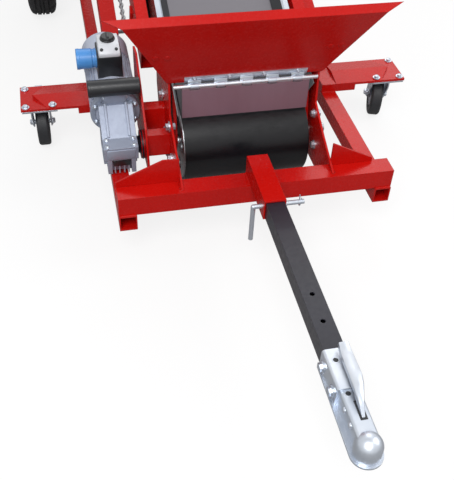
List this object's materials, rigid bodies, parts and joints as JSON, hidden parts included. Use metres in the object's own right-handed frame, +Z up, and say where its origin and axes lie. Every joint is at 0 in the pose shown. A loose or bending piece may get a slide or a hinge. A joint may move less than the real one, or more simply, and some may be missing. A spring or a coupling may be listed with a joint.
{
  "type": "mobile telescopic belt conveyor",
  "caption": "Towable inclined belt conveyor with feed plate, gearmotor at the tail drum, sliding extension, lift cylinders, casters, road wheels and ball coupling drawbar.",
  "frame": {"origin": "centre of the footprint of the whole machine, on the ground under its wheels", "axes": "+Z up, +Y along the conveyor from the drawbar to the head, +X to the right seen from the drawbar end"},
  "size_m": [1.298, 4.0343, 1.464],
  "materials": {
    "red_paint": "gloss red paint",
    "black_paint": "satin black paint",
    "zinc": "bright zinc plate",
    "steel": "bright steel",
    "belt_rubber": "smooth black belting",
    "flap_rubber": "mauve rubber sheet",
    "caster_rubber": "solid rubber tread",
    "tyre": "road tyre",
    "cast_aluminium": "cast aluminium",
    "motor_paint": "light grey paint",
    "black_plastic": "black plastic",
    "grey_plastic": "light grey plastic",
    "blue_plastic": "blue plastic",
    "chrome": "hard chrome",
    "rim_paint": "silver paint"
  },
  "bodies": {
    "chassis": {"axle": "red_paint", "ball_coupling": "zinc", "capacitor": "black_plastic", "caster_arm_left": "red_paint", "caster_arm_right": "red_paint", "caster_mount_left": "zinc", "caster_mount_right": "zinc", "chassis_rail_left": "red_paint", "chassis_rail_right": "red_paint", "coupling_handle": "zinc", "cross_beam": "red_paint", "drawbar": "black_paint", "drive_plate": "red_paint", "feed_plate": "red_paint", "gearbox": "cast_aluminium", "gusset_left": "red_paint", "gusset_right": "red_paint", "hinge_leaf": "zinc", "hitch_pin": "zinc", "hitch_socket": "red_paint", "motor": "motor_paint", "power_inlet": "blue_plastic", "side_plate_left": "red_paint", "side_plate_right": "red_paint", "skid_left": "red_paint", "skid_right": "red_paint", "switch_box": "grey_plastic"},
    "boom": {"base_belt": "belt_rubber", "belt_bed": "red_paint", "boom_frame": "red_paint", "head_drum": "steel", "snub_roller": "steel", "tail_drum": "steel"},
    "caster_swivel_left": {"caster_fork_left": "zinc"},
    "caster_swivel_right": {"caster_fork_right": "zinc"},
    "caster_wheel_left": {"caster_wheel_left": "caster_rubber"},
    "caster_wheel_right": {"caster_wheel_right": "caster_rubber"},
    "extension": {"extension_belt": "belt_rubber", "extension_frame": "red_paint", "extension_head_roller": "steel", "extension_tail_roller": "steel"},
    "flap": {"feed_flap": "flap_rubber"},
    "lift_barrel_left": {"lift_barrel_left": "red_paint"},
    "lift_barrel_right": {"lift_barrel_right": "red_paint"},
    "lift_rod_left": {"lift_rod_left": "chrome"},
    "lift_rod_right": {"lift_rod_right": "chrome"},
    "wheel_left": {"tyre_left": "tyre", "wheel_rim_left": "rim_paint"},
    "wheel_right": {"tyre_right": "tyre", "wheel_rim_right": "rim_paint"}
  },
  "joints": [
    {"name": "boom_raise", "type": "hinge", "parent": "chassis", "child": "boom", "pos_m": [0, -0.85316, 0.215], "axis": [1, 0, 0], "range_deg": [-4, 8]},
    {"name": "flap_swing", "type": "hinge", "parent": "chassis", "child": "flap", "pos_m": [0, -0.90216, 0.432], "axis": [1, 0, 0], "range_deg": [-60, 0]},
    {"name": "extension_slide", "type": "slide", "parent": "boom", "child": "extension", "axis": [0, 0.9272, 0.3746], "range_m": [0, 1.5]},
    {"name": "lift_foot_left", "type": "hinge", "parent": "chassis", "child": "lift_barrel_left", "pos_m": [-0.415, 0.47684, 0.275], "axis": [1, 0, 0], "range_deg": [-2.48, 4.45]},
    {"name": "lift_rod_left", "type": "slide", "parent": "lift_barrel_left", "child": "lift_rod_left", "axis": [0, -0.2259, 0.9741], "range_m": [-0.0935, 0.184]},
    {"name": "caster_turn_left", "type": "hinge", "parent": "chassis", "child": "caster_swivel_left", "pos_m": [-0.591, -0.53816, 0.15], "axis": [0, 0, 1], "continuous": true},
    {"name": "caster_roll_left", "type": "hinge", "parent": "caster_swivel_left", "child": "caster_wheel_left", "pos_m": [-0.591, -0.49016, 0.08], "axis": [1, 0, 0], "continuous": true},
    {"name": "wheel_roll_left", "type": "hinge", "parent": "chassis", "child": "wheel_left", "pos_m": [-0.556, 0.47684, 0.205], "axis": [1, 0, 0], "continuous": true},
    {"name": "lift_foot_right", "type": "hinge", "parent": "chassis", "child": "lift_barrel_right", "pos_m": [0.415, 0.47684, 0.275], "axis": [1, 0, 0], "range_deg": [-2.48, 4.45]},
    {"name": "lift_rod_right", "type": "slide", "parent": "lift_barrel_right", "child": "lift_rod_right", "axis": [0, -0.2259, 0.9741], "range_m": [-0.0935, 0.184]},
    {"name": "caster_turn_right", "type": "hinge", "parent": "chassis", "child": "caster_swivel_right", "pos_m": [0.591, -0.53816, 0.15], "axis": [0, 0, 1], "continuous": true},
    {"name": "caster_roll_right", "type": "hinge", "parent": "caster_swivel_right", "child": "caster_wheel_right", "pos_m": [0.60583, -0.49251, 0.08], "axis": [0.9511, -0.309, 0], "continuous": true},
    {"name": "wheel_roll_right", "type": "hinge", "parent": "chassis", "child": "wheel_right", "pos_m": [0.556, 0.47684, 0.205], "axis": [1, 0, 0], "continuous": true}
  ],
  "couplings": [
    {"joint": "lift_foot_left", "follows": "boom_raise", "ratio": 0.4941},
    {"joint": "lift_rod_left", "follows": "boom_raise", "m_per_rad": 1.2961},
    {"joint": "lift_foot_right", "follows": "boom_raise", "ratio": 0.4941},
    {"joint": "lift_rod_right", "follows": "boom_raise", "m_per_rad": 1.2961}
  ]
}
